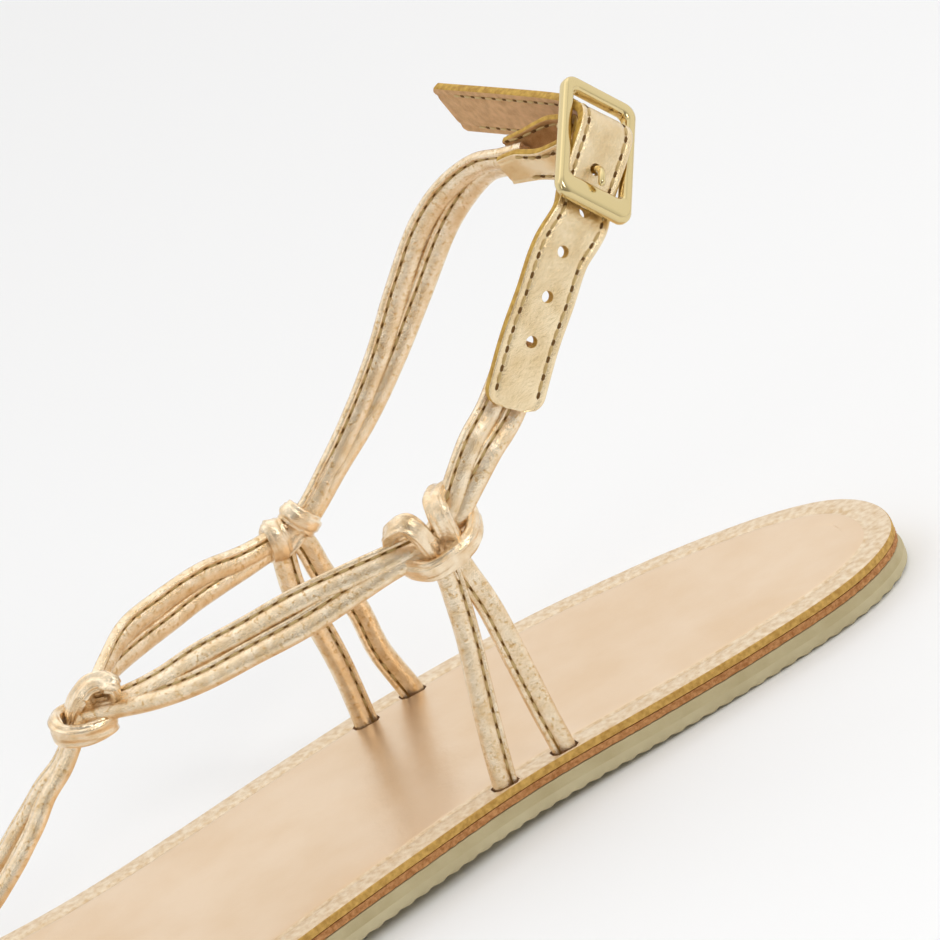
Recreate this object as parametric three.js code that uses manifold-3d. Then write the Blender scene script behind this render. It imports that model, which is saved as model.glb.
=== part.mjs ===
// Gladiator sandal, left foot, in millimetres.
// +X runs from heel to toe, +Y to the outer (lateral) side, +Z up.
// The origin lies under the middle of the heel, on the floor.

import * as THREE from 'three';
import { mergeVertices } from 'three/addons/utils/BufferGeometryUtils.js';
import Module from 'manifold-3d';

const wasm = await Module();
wasm.setup();

// Driving dimensions
const soleLength = 250;
const soleWidth = 76; // ball width, lateral edge to medial edge
const heelSet = 32; // origin to the back end of the heel
const archHeight = 1.7;
const toeSpring = 5;
const outsoleThickness = 4.0;
const outsoleLedge = 2.3; // height of the step in the outsole's side
const outsoleStep = 0.4; // depth of that step
const outsoleRound = 0.8; // rounding of the lower edge
const boardThickness = 1.2;
const insoleThickness = 1.4;
const insoleRound = 0.4;
const layerGap = 0.2; // glue line between two layers
const clearance = 0.3; // between pieces that touch
const sliver = 0.03; // facets finer than this are merged after a join or a cut

const ankleSpan = 42; // between the two side knots
const anchorShare = 0.5526; // the same measure at the insole, on the sole's width
const loopHeight = 84; // top of the ankle loop above the insole
const cordWidth = 4.2;
const cordThickness = 2.6;
const cordCorner = 0.85;
const knotWidth = 3.6; // a cord pulled narrow in a knot
const knotThickness = 2.2;

const billetWidth = 10.2;
const tipLength = 42; // free end past the buckle
const tipDrift = 4.5; // how far the tip leans sideways, on the buckle's width
const billetThickness = 1.6;
const strapCorner = 0.3;
const holeRadius = 1.0;
const holePitch = 7.5;
const holeCount = 4; // besides the one that the prong uses
const chapeWidth = 9.4;
const chapeGrip = 5.6; // the chape's width where it holds the cords
const chapeThickness = 1.2;
const chapeSlack = 1.0; // how far each leaf stands off half-way to the bar

const frameLength = 24;
const frameWidth = 14.4;
const frameDepth = 2.2;
const frameCorner = 2.2;
const frameRound = 0.5;
const frameSideBar = 1.9;
const frameLowBar = 4.4;
const frameTopBar = 2.5;
const barRadius = 0.9;
const barAlong = 3.1; // centre bar from the middle of the frame
const barDepth = 1.3; // centre bar behind the frame's middle plane
const prongRadius = 0.7;
const prongInset = 3.9; // prong's hole from the low bar's edge
const prongDip = 3.2; // the prong's lowest place, before its hole
const prongReach = 0.8; // the prong's tip over the low bar

// Heights that follow from the layers
const boardBottom = outsoleThickness + layerGap;
const insoleBottom = boardBottom + boardThickness + layerGap;
const insoleTop = insoleBottom + insoleThickness;

// Sole outline: a row for each section, at a share of the length, with half
// widths to each side of the centre line as shares of the ball width.
const outline = [
  { along: 0.0, lateral: 0.0, medial: 0.0 },
  { along: 0.012, lateral: 0.151, medial: 0.138 },
  { along: 0.04, lateral: 0.237, medial: 0.23 },
  { along: 0.08, lateral: 0.286, medial: 0.301 },
  { along: 0.14, lateral: 0.309, medial: 0.37 },
  { along: 0.22, lateral: 0.325, medial: 0.414 },
  { along: 0.32, lateral: 0.348, medial: 0.402 },
  { along: 0.42, lateral: 0.411, medial: 0.36 },
  { along: 0.52, lateral: 0.467, medial: 0.328 },
  { along: 0.6, lateral: 0.515, medial: 0.326 },
  { along: 0.68, lateral: 0.546, medial: 0.361 },
  { along: 0.76, lateral: 0.536, medial: 0.422 },
  { along: 0.86, lateral: 0.451, medial: 0.449 },
  { along: 0.95, lateral: 0.282, medial: 0.32 },
  { along: 1.0, lateral: 0.0, medial: 0.0 },
];
const archSpan = { start: 0.14, end: 0.68 };
const springStart = 0.84;
const outlineSteps = 30;

// Strap routes. along is a share of the sole's length from the heel's end,
// across a share of the ankle span towards the lateral side, up a share of the
// loop's height above the insole. ax, ay, az point across the strap's width.
// spread is the distance between the two cords of a pair, in cord widths.
const columns = ['along', 'across', 'up', 'ax', 'ay', 'az', 'spread'];
const rows = (table) => table.map((r) => Object.fromEntries(columns.map((name, i) => [name, r[i]])));

const pairs = {
  lateralInstep: rows([
    [0.313, 0.5, 0.492, 0.04, 0.28, -0.91, 0.25],
    [0.345, 0.486, 0.492, 0.04, 0.28, -0.91, 0.35],
    [0.374, 0.443, 0.483, 0.1, 0.4, -0.88, 0.65],
    [0.408, 0.376, 0.469, 0.18, 0.55, -0.78, 0.98],
    [0.442, 0.295, 0.454, 0.24, 0.7, -0.65, 1.02],
    [0.476, 0.205, 0.44, 0.26, 0.75, -0.6, 1.05],
    [0.502, 0.119, 0.429, 0.3, 0.8, -0.5, 0.7],
    [0.527, 0.012, 0.426, 0.3, 0.85, -0.4, 0.3],
    [0.548, -0.071, 0.431, 0.3, 0.85, -0.3, 0.2],
  ]),
  medialInstep: rows([
    [0.36, -0.488, 0.448, -0.12, 0.28, 0.92, 0.25],
    [0.395, -0.467, 0.446, -0.12, 0.28, 0.92, 0.45],
    [0.428, -0.419, 0.458, -0.15, 0.28, 0.94, 0.9],
    [0.463, -0.357, 0.461, -0.2, 0.26, 0.94, 1.1],
    [0.494, -0.276, 0.465, -0.22, 0.2, 0.95, 1.0],
    [0.522, -0.167, 0.456, -0.24, 0.4, 0.88, 0.45],
    [0.548, -0.04, 0.44, -0.24, 0.7, 0.65, 0.2],
  ]),
  lateralAnkle: rows([
    [0.313, 0.5, 0.492, 0.69, 0, 0.72, 0.25],
    [0.298, 0.505, 0.525, 0.69, 0, 0.72, 0.4],
    [0.28, 0.507, 0.575, 0.69, 0, 0.72, 0.7],
    [0.262, 0.498, 0.619, 0.69, 0, 0.72, 0.9],
    [0.24, 0.469, 0.656, 0.69, 0, 0.72, 0.98],
    [0.204, 0.455, 0.757, 0.68, 0, 0.73, 0.98],
  ]),
  medialAnkle: rows([
    [0.36, -0.488, 0.448, 0.72, 0, 0.69, 0.25],
    [0.343, -0.488, 0.465, 0.72, 0, 0.69, 0.14],
    [0.312, -0.5, 0.528, 0.7, 0, 0.71, 0.2],
    [0.279, -0.512, 0.599, 0.7, 0, 0.71, 0.5],
    [0.246, -0.512, 0.688, 0.69, 0, 0.72, 0.72],
    [0.218, -0.488, 0.783, 0.66, 0, 0.75, 0.95],
    [0.188, -0.429, 0.889, 0.58, 0, 0.81, 1.0],
    [0.169, -0.333, 0.948, 0.5, 0, 0.87, 0.8],
    [0.152, -0.202, 0.989, 0.43, 0, 0.9, 0.45],
    [0.141, -0.06, 1.0, 0.41, 0, 0.91, 0.3],
    [0.131, 0.013, 1.004, 0.45, 0, 0.89, 0.3],
  ]),
  thong: rows([
    [0.548, -0.071, 0.431, 0, 1, 0, 0.35],
    [0.572, -0.097, 0.358, 0, 1, 0, 0.45],
    [0.591, -0.119, 0.321, 0, 1, 0, 0.75],
    [0.61, -0.133, 0.275, 0, 1, 0, 1.3],
    [0.658, -0.178, 0.179, 0, 1, 0, 1.7],
    [0.728, -0.228, 0.105, 0, 1, 0, 1.6],
    [0.785, -0.265, 0.05, 0, 1, 0, 1.2],
    [0.808, -0.28, 0.0, 0, 1, 0, 1.0],
  ]),
};

// Single cords from each side knot down into the insole
const struts = {
  lateralFront: rows([
    [0.313, 0.5, 0.472, 1, 0, 0, 0],
    [0.314, 0.5, 0.456, 1, 0, 0, 0],
    [0.316, 0.512, 0.4, 1, 0, 0, 0],
    [0.322, 0.538, 0.289, 1, 0, 0, 0],
    [0.328, 0.557, 0.212, 1, 0, 0, 0],
    [0.335, 0.576, 0.112, 1, 0, 0, 0],
    [0.341, 0.586, 0.0, 1, 0, 0, 0],
  ]),
  lateralBack: rows([
    [0.313, 0.5, 0.472, 1, 0, 0, 0],
    [0.308, 0.5, 0.456, 1, 0, 0, 0],
    [0.304, 0.507, 0.401, 1, 0, 0, 0],
    [0.3, 0.519, 0.33, 1, 0, 0, 0],
    [0.298, 0.538, 0.205, 1, 0, 0, 0],
    [0.296, 0.548, 0.079, 1, 0, 0, 0],
    [0.294, 0.552, 0.0, 1, 0, 0, 0],
  ]),
  medialFront: rows([
    [0.366, -0.488, 0.446, 1, 0, 0, 0],
    [0.369, -0.488, 0.404, 1, 0, 0, 0],
    [0.371, -0.505, 0.329, 1, 0, 0, 0],
    [0.365, -0.524, 0.234, 1, 0, 0, 0],
    [0.362, -0.543, 0.134, 1, 0, 0, 0],
    [0.362, -0.555, 0.0, 1, 0, 0, 0],
  ]),
  medialBack: rows([
    [0.356, -0.488, 0.446, 1, 0, 0, 0],
    [0.352, -0.488, 0.412, 1, 0, 0, 0],
    [0.348, -0.512, 0.331, 1, 0, 0, 0],
    [0.336, -0.543, 0.24, 1, 0, 0, 0],
    [0.332, -0.579, 0.12, 1, 0, 0, 0],
    [0.322, -0.605, 0.0, 1, 0, 0, 0],
  ]),
};

// Knots: closed wraps of cord round the crossing, as offsets from the knot's
// centre in cord widths. Two wraps hold a pair each, a third cradles the struts.
const lateralKnot = [
  [[-1.15, -0.5, 1.5], [-0.46, 0.29, 1.62], [-0.25, 0.8, 1.2], [-0.32, 0.74, 0.4],
    [-0.59, 0.12, -0.35], [-1.02, -0.6, 0.02], [-1.2, -0.68, 0.8]],
  [[1.5, -0.4, 0.85], [1.42, 0.29, 1.38], [1.06, 0.79, 1.5], [0.83, 0.94, 1.12],
    [0.57, 0.8, 0.36], [0.2, 0.12, -0.43], [0.34, -0.58, -0.38], [0.98, -0.66, 0.09]],
  [[1.48, -0.4, -0.31], [1.24, 0.36, -0.53], [0.82, 0.76, -0.66], [-0.04, 0.9, -0.58],
    [-0.95, 0.76, -0.38], [-1.52, 0.24, -0.1], [-1.76, -0.4, 0.18], [-1.1, -0.8, -0.11],
    [0.14, -0.85, -0.48]],
];
const medialKnot = [
  [[0.54, 0.43, 0.04], [0.48, 0.3, 0.49], [0.45, 0.0, 0.68], [0.5, -0.3, 0.49],
    [0.58, -0.43, 0.04], [0.63, -0.3, -0.41], [0.63, 0.0, -0.6], [0.6, 0.3, -0.41]],
  [[-0.7, 0.43, 0.34], [-0.46, 0.3, 0.72], [-0.36, 0.0, 0.88], [-0.46, -0.3, 0.72],
    [-0.7, -0.43, 0.34], [-0.95, -0.3, -0.05], [-1.05, 0.0, -0.2], [-0.95, 0.3, -0.05]],
  [[0.75, -0.3, -0.55], [0.45, -0.75, -0.75], [-0.1, -0.85, -0.7], [-0.65, -0.75, -0.3],
    [-1.0, -0.35, 0.05], [-0.5, 0.0, -0.1], [0.2, 0.05, -0.35]],
];
const frontKnot = [
  [[-1.31, 1.07, 0.65], [-1.13, 0.6, 0.93], [-0.63, 0.36, 0.97], [-0.04, 0.19, 0.62],
    [0.39, -0.24, -0.07], [-0.08, -0.95, -0.79], [-0.95, -0.36, -0.25]],
  [[0.59, -0.95, -0.13], [1.08, -0.24, -0.04], [1.13, 0.48, -0.24], [0.63, 0.9, -0.44],
    [-0.02, 1.0, -0.57], [-0.74, 0.71, -0.67], [-0.69, -0.6, -0.72], [-0.2, -1.31, -0.43]],
];
const knots = [
  { at: { along: 0.313, across: 0.5, up: 0.492 }, wraps: lateralKnot },
  { at: { along: 0.36, across: -0.488, up: 0.448 }, wraps: medialKnot },
  { at: { along: 0.548, across: -0.071, up: 0.431 }, wraps: frontKnot },
];

// Billet below the buckle, on the same shares as the pairs
const billetRise = rows([
  [0.235, 0.531, 0.665, 0.69, 0, 0.72, 0],
  [0.206, 0.526, 0.767, 0.67, 0, 0.74, 0],
  [0.185, 0.512, 0.826, 0.65, 0, 0.76, 0],
  [0.163, 0.488, 0.886, 0.62, 0, 0.78, 0],
]);

// Where the buckle stands and which way it faces
const buckleSeat = { along: 0.105, across: 0.31, up: 1.0 };
const buckleRun = new THREE.Vector3(-0.577, -0.676, 0.459).normalize(); // low bar to top bar
const buckleAcross = new THREE.Vector3(0.606, 0.023, 0.795).normalize();
const buckleOut = new THREE.Vector3().crossVectors(buckleRun, buckleAcross);

// Small helpers
const vec = (x, y, z) => new THREE.Vector3(x, y, z);

function smoothShare(share, start, end) {
  return THREE.MathUtils.clamp((share - start) / (end - start), 0, 1);
}

// Height of the sole's underside at a share of its length
function floorRise(share) {
  const arch = Math.sin(Math.PI * smoothShare(share, archSpan.start, archSpan.end)) ** 2;
  const spring = smoothShare(share, springStart, 1) ** 2;
  return archHeight * arch + toeSpring * spring;
}

// Half width of the outline at station s, where along = (1 - cos(pi s)) / 2
function halfWidth(side, s) {
  const stations = outline.map((row) => Math.acos(1 - 2 * row.along) / Math.PI);
  const last = outline.length - 1;
  let i = stations.findIndex((value) => value > s) - 1;
  if (i < 0) i = s <= 0 ? 0 : last - 1;
  const slope = (k) => {
    const a = Math.max(k - 1, 0);
    const b = Math.min(k + 1, last);
    return (outline[b][side] - outline[a][side]) / (stations[b] - stations[a]);
  };
  const span = stations[i + 1] - stations[i];
  const t = (s - stations[i]) / span;
  const value = outline[i][side] * (1 + 2 * t) * (1 - t) ** 2
    + outline[i + 1][side] * t * t * (3 - 2 * t)
    + slope(i) * span * t * (1 - t) ** 2
    + slope(i + 1) * span * t * t * (t - 1);
  return value * soleWidth;
}

// A point given by its shares, above the insole at that place
function place({ along, across, up }) {
  const z = insoleTop + floorRise(along) + up * loopHeight;
  return vec(along * soleLength - heelSet, across * ankleSpan, z);
}

const toRoute = (table) => table.map((row) => ({
  at: place(row),
  across: vec(row.ax, row.ay, row.az).normalize(),
  spread: row.spread,
}));

// A point in the buckle's own frame: along its run, across it and out of it
function atBuckle(run, across, out) {
  return place(buckleSeat)
    .addScaledVector(buckleRun, run)
    .addScaledVector(buckleAcross, across)
    .addScaledVector(buckleOut, out);
}

// One cord of a pair, half the spread to one side of the pair's centre line
function strand(route, side) {
  return route.map((row, i) => {
    const next = route[Math.min(i + 1, route.length - 1)].at;
    const before = route[Math.max(i - 1, 0)].at;
    const tangent = next.clone().sub(before).normalize();
    const across = row.across.clone().addScaledVector(tangent, -row.across.dot(tangent)).normalize();
    const shift = side * row.spread * cordWidth / 2;
    return { at: row.at.clone().addScaledVector(across, shift), across, spread: 0 };
  });
}

// Rectangle with cut corners, as x across the width and y through the thickness
function section(width, thickness, corner) {
  const x = width / 2;
  const y = thickness / 2;
  return [
    [x, y - corner], [x - corner, y], [corner - x, y], [-x, y - corner],
    [-x, corner - y], [corner - x, -y], [x - corner, -y], [x, corner - y],
  ];
}

// Closed mesh from rings of points; its faces are turned outwards
function skin(rings, looped) {
  const size = rings[0].length;
  const index = [];
  const bands = looped ? rings.length : rings.length - 1;
  for (let k = 0; k < bands; k += 1) {
    const a = k * size;
    const b = ((k + 1) % rings.length) * size;
    for (let i = 0; i < size; i += 1) {
      const j = (i + 1) % size;
      index.push(a + i, a + j, b + j, a + i, b + j, b + i);
    }
  }
  if (!looped) {
    const end = (rings.length - 1) * size;
    for (let i = 1; i < size - 1; i += 1) {
      index.push(0, i + 1, i, end, end + i, end + i + 1);
    }
  }
  return outward(rings.flat(), index);
}

function outward(points, index) {
  let volume = 0;
  for (let i = 0; i < index.length; i += 3) {
    volume += points[index[i]].dot(vec(0, 0, 0).crossVectors(points[index[i + 1]], points[index[i + 2]]));
  }
  if (volume < 0) {
    for (let i = 0; i < index.length; i += 3) [index[i], index[i + 1]] = [index[i + 1], index[i]];
  }
  const geometry = new THREE.BufferGeometry();
  geometry.setAttribute('position', new THREE.Float32BufferAttribute(points.flatMap((p) => p.toArray()), 3));
  geometry.setIndex(index);
  return geometry;
}

// Sweep of a section along a route, flat to the route's across directions.
// A row's wide, if it has one, is the section's width there as a share.
function sweep(route, profile, { looped = false, perSpan = 2 } = {}) {
  const centre = new THREE.CatmullRomCurve3(route.map((row) => row.at), looped, 'centripetal');
  const turn = new THREE.CatmullRomCurve3(route.map((row) => row.across), looped, 'catmullrom');
  const wide = new THREE.CatmullRomCurve3(route.map((row) => vec(row.wide ?? 1, 0, 0)), looped, 'catmullrom');
  const spans = looped ? route.length : route.length - 1;
  const steps = spans * perSpan;
  const rings = [];
  for (let k = 0; k < (looped ? steps : steps + 1); k += 1) {
    const t = k / steps;
    const at = centre.getPoint(t);
    const tangent = centre.getTangent(t);
    const across = turn.getPoint(t);
    across.addScaledVector(tangent, -across.dot(tangent)).normalize();
    const out = vec(0, 0, 0).crossVectors(across, tangent);
    across.multiplyScalar(wide.getPoint(t).x);
    rings.push(profile.map(([x, y]) => at.clone().addScaledVector(across, x).addScaledVector(out, y)));
  }
  return skin(rings, looped);
}

function toSolid(geometry) {
  const bare = geometry.clone();
  bare.deleteAttribute('normal');
  bare.deleteAttribute('uv');
  const merged = mergeVertices(bare, 1e-5);
  return new wasm.Manifold(new wasm.Mesh({
    numProp: 3,
    vertProperties: new Float32Array(merged.attributes.position.array),
    triVerts: new Uint32Array(merged.index.array),
  }));
}

function toGeometry(solid) {
  const mesh = solid.asOriginal().simplify(sliver).getMesh();
  const geometry = new THREE.BufferGeometry();
  geometry.setAttribute('position', new THREE.Float32BufferAttribute(mesh.vertProperties, 3));
  geometry.setIndex(Array.from(mesh.triVerts));
  return geometry;
}

const joined = (geometries) => geometries.map(toSolid).reduce((whole, piece) => whole.add(piece));

// Sole layers: the outline stepped up through rows of height and inset
function soleLayer(steps) {
  const count = 2 * outlineSteps;
  const stations = Array.from({ length: count }, (_, i) => {
    const lateral = i <= outlineSteps;
    const s = (lateral ? i : count - i) / outlineSteps;
    const share = (1 - Math.cos(Math.PI * s)) / 2;
    const side = lateral ? 'lateral' : 'medial';
    const y = (lateral ? 1 : -1) * halfWidth(side, s);
    return { share, x: share * soleLength - heelSet, y };
  });
  const rings = steps.map(({ height, inset }) => stations.map((station, i) => {
    const before = stations[(i + count - 1) % count];
    const next = stations[(i + 1) % count];
    const normal = vec(next.y - before.y, before.x - next.x, 0).normalize();
    const z = floorRise(station.share) + height;
    return vec(station.x + inset * normal.x, station.y + inset * normal.y, z);
  }));
  const index = [];
  for (let k = 0; k < rings.length - 1; k += 1) {
    for (let i = 0; i < count; i += 1) {
      const j = (i + 1) % count;
      index.push(k * count + i, k * count + j, (k + 1) * count + j);
      index.push(k * count + i, (k + 1) * count + j, (k + 1) * count + i);
    }
  }
  const top = (rings.length - 1) * count;
  for (let i = 0; i < outlineSteps; i += 1) {
    const across = (count - i) % count;
    const acrossNext = count - i - 1;
    if (i > 0) index.push(i, across, i + 1, top + i, top + i + 1, top + across);
    if (i < outlineSteps - 1) {
      index.push(i + 1, across, acrossNext, top + i + 1, top + acrossNext, top + across);
    }
  }
  return outward(rings.flat(), index);
}

function outsole() {
  return soleLayer([
    { height: 0, inset: outsoleRound },
    { height: outsoleRound, inset: 0 },
    { height: outsoleLedge, inset: 0 },
    { height: outsoleLedge + outsoleStep, inset: outsoleStep },
    { height: outsoleThickness, inset: outsoleStep },
  ]);
}

function midsoleBoard() {
  return soleLayer([
    { height: boardBottom, inset: outsoleStep },
    { height: boardBottom + boardThickness, inset: outsoleStep },
  ]);
}

// A cord's end goes down through the insole and stops above the board
function seated(route, stop) {
  const end = route[route.length - 1];
  const down = end.at.clone();
  down.z -= stop;
  return [...route, { at: down, across: end.across, spread: end.spread }];
}

// Side straps lean from the knots' span to the slots' span, which follows the sole
function strutRoute(table) {
  const anchorSpan = anchorShare * soleWidth;
  return toRoute(table).map((row, i) => {
    const lowered = 1 - table[i].up / table[0].up;
    row.at.y += table[i].across * lowered * (anchorSpan - ankleSpan);
    return row;
  });
}

const strutRoutes = Object.values(struts).map(strutRoute);
const thongRoute = toRoute(pairs.thong);
const thongStrands = [-1, 1].map((side) => strand(thongRoute, side));
const seatedRoutes = [...strutRoutes, ...thongStrands];

function insole() {
  const slot = section(cordWidth + 2 * clearance, cordThickness + 2 * clearance, cordCorner);
  const sheet = toSolid(soleLayer([
    { height: insoleBottom, inset: outsoleStep },
    { height: insoleTop - insoleRound, inset: outsoleStep },
    { height: insoleTop, inset: outsoleStep + insoleRound },
  ]));
  const cuts = joined(seatedRoutes.map((route) => sweep(seated(route, 2 * insoleThickness).slice(-4), slot)));
  return toGeometry(sheet.subtract(cuts));
}

function knotWraps({ at, wraps }) {
  const centre = place(at);
  return wraps.map((wrap) => {
    const points = wrap.map(([x, y, z]) => centre.clone().add(vec(x, y, z).multiplyScalar(cordWidth)));
    const middle = points.reduce((sum, p) => sum.add(p), vec(0, 0, 0)).divideScalar(points.length);
    const axis = vec(0, 0, 0);
    points.forEach((p, i) => {
      const next = points[(i + 1) % points.length];
      axis.add(vec(0, 0, 0).crossVectors(p.clone().sub(middle), next.clone().sub(middle)));
    });
    axis.normalize();
    return sweep(
      points.map((p) => ({ at: p, across: axis })),
      section(knotWidth, knotThickness, cordCorner),
      { looped: true },
    );
  });
}

function upper() {
  const cord = section(cordWidth, cordThickness, cordCorner);
  const stop = insoleThickness - clearance;
  const freePairs = [pairs.lateralInstep, pairs.medialInstep, pairs.lateralAnkle, pairs.medialAnkle];
  const cords = freePairs.map(toRoute).flatMap((route) => [-1, 1].map((side) => strand(route, side)));
  const seats = seatedRoutes.map((route) => seated(route, stop));
  return toGeometry(joined([
    ...[...cords, ...seats].map((route) => sweep(route, cord)),
    ...knots.flatMap(knotWraps),
  ]));
}

// Billet: rises to the buckle, goes behind the low bar, over the centre bar
// with the chape and prong on it, behind the top bar and on to the free tip.
const prongLoop = barRadius + clearance + prongRadius;
const chapeWrap = barRadius + clearance + chapeThickness / 2;
const billetWrap = prongLoop + prongRadius + clearance + billetThickness / 2;
const lowEdge = frameLowBar - frameLength / 2; // low bar's edge at the window
const billetUnderBar = -(frameDepth / 2 + clearance + billetThickness / 2);
const holeRun = lowEdge + prongInset;
const tipTurn = THREE.MathUtils.degToRad(-58);
const climb = Math.atan2(-barDepth - billetUnderBar, barAlong - lowEdge)
  + Math.asin(billetWrap / Math.hypot(barAlong - lowEdge, -barDepth - billetUnderBar));
const holeOut = billetUnderBar + (holeRun - lowEdge) * Math.tan(climb);

// A point round the centre bar, in the plane of the buckle's run and out
function roundBar(radius, angle) {
  return { run: barAlong + radius * Math.cos(angle), out: -barDepth + radius * Math.sin(angle) };
}

function billetRoute() {
  const first = climb + Math.PI / 2;
  const last = tipTurn + Math.PI / 2;
  const arc = [0, 0.33, 0.67, 1].map((t) => roundBar(billetWrap, first + (last - first) * t));
  const inFrame = [
    { run: -frameLength / 2, out: billetUnderBar - frameLowBar * Math.tan(climb) / 2 },
    { run: lowEdge, out: billetUnderBar },
    { run: holeRun, out: holeOut },
    ...arc,
  ].map(({ run, out }) => ({ at: atBuckle(run, 0, out), across: buckleAcross }));
  const tipAcross = vec(0.285, 0.068, 0.956);
  const tail = [
    { part: 0.15, drift: 0.1, turn: 0.8 },
    { part: 0.5, drift: 0.45, turn: 1 },
    { part: 1, drift: 1, turn: 1 },
  ].map(({ part, drift, turn }) => ({
    at: atBuckle(
      arc[3].run + part * tipLength * Math.cos(tipTurn),
      drift * tipDrift,
      arc[3].out + part * tipLength * Math.sin(tipTurn),
    ),
    across: buckleAcross.clone().lerp(tipAcross, turn).normalize(),
  }));
  return [...toRoute(billetRise), ...inFrame, ...tail];
}

function prongShank(radius) {
  const rest = frameDepth / 2 + clearance + prongRadius;
  const under = billetThickness / 2 + clearance + prongRadius;
  const points = [
    { run: barAlong - prongLoop, out: -barDepth },
    { run: holeRun + prongDip, out: holeOut + prongDip * Math.tan(climb) - 1.1 * under },
    { run: holeRun + under / 2, out: holeOut - 0.8 * under },
    { run: holeRun, out: holeOut },
    { run: holeRun - 0.6 * under, out: holeOut + under },
    { run: lowEdge + 0.6 * rest, out: rest },
    { run: lowEdge - prongReach, out: rest },
  ];
  const route = points.map(({ run, out }) => ({ at: atBuckle(run, 0, out), across: buckleAcross }));
  const round = Array.from({ length: 8 }, (_, i) => {
    const angle = (i + 0.5) * Math.PI / 4;
    return [radius * Math.cos(angle), radius * Math.sin(angle)];
  });
  return sweep(route, round);
}

function billet() {
  const route = billetRoute();
  const strap = toSolid(sweep(route, section(billetWidth, billetThickness, strapCorner)));
  const middle = new THREE.CatmullRomCurve3(route.map((row) => row.at), false, 'centripetal');
  const prongHole = atBuckle(holeRun, 0, holeOut);
  const share = Array.from({ length: 401 }, (_, i) => i / 400)
    .reduce((best, t) => (middle.getPointAt(t).distanceTo(prongHole)
      < middle.getPointAt(best).distanceTo(prongHole) ? t : best), 0);
  const holes = Array.from({ length: holeCount }, (_, i) => {
    const t = share - (i + 1) * holePitch / middle.getLength();
    const along = middle.getTangentAt(t);
    const near = route.reduce((best, row) => (
      row.at.distanceTo(middle.getPointAt(t)) < best.at.distanceTo(middle.getPointAt(t)) ? row : best));
    const out = vec(0, 0, 0).crossVectors(near.across, along).normalize();
    const punch = new THREE.CylinderGeometry(holeRadius, holeRadius, 4 * billetThickness, 10);
    punch.applyQuaternion(new THREE.Quaternion().setFromUnitVectors(vec(0, 1, 0), out));
    return punch.translate(...middle.getPointAt(t).toArray());
  });
  return toGeometry(strap.subtract(joined([...holes, prongShank(prongRadius + clearance)])));
}

const buckleBasis = new THREE.Matrix4()
  .makeBasis(buckleRun, buckleAcross, buckleOut)
  .setPosition(place(buckleSeat));

function prongRing() {
  const ring = new THREE.TorusGeometry(prongLoop, prongRadius, 8, 14);
  ring.rotateX(Math.PI / 2);
  return ring.translate(barAlong, 0, -barDepth).applyMatrix4(buckleBasis);
}

function bucklePin() {
  return toGeometry(joined([prongRing(), prongShank(prongRadius)]));
}

function roundedRectangle(target, left, right, half, corner) {
  target.moveTo(left + corner, -half);
  target.lineTo(right - corner, -half);
  target.absarc(right - corner, corner - half, corner, -Math.PI / 2, 0, false);
  target.lineTo(right, half - corner);
  target.absarc(right - corner, half - corner, corner, 0, Math.PI / 2, false);
  target.lineTo(left + corner, half);
  target.absarc(left + corner, half - corner, corner, Math.PI / 2, Math.PI, false);
  target.lineTo(left, corner - half);
  target.absarc(left + corner, corner - half, corner, Math.PI, 1.5 * Math.PI, false);
  return target;
}

function buckleFrame() {
  const half = frameWidth / 2;
  const end = frameLength / 2;
  const plate = roundedRectangle(new THREE.Shape(), -end, end, half, frameCorner);
  const window = [lowEdge, end - frameTopBar, half - frameSideBar, frameCorner / 2];
  plate.holes.push(roundedRectangle(new THREE.Path(), ...window));
  const ring = new THREE.ExtrudeGeometry(plate, {
    depth: frameDepth - 2 * frameRound,
    bevelThickness: frameRound,
    bevelSize: frameRound,
    bevelOffset: -frameRound,
    bevelSegments: 2,
    curveSegments: 4,
  }).translate(0, 0, frameRound - frameDepth / 2);
  const bar = new THREE.CylinderGeometry(barRadius, barRadius, frameWidth - frameSideBar, 10)
    .translate(barAlong, 0, -barDepth);
  return toGeometry(joined([ring, bar]).transform(buckleBasis.elements));
}

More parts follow.
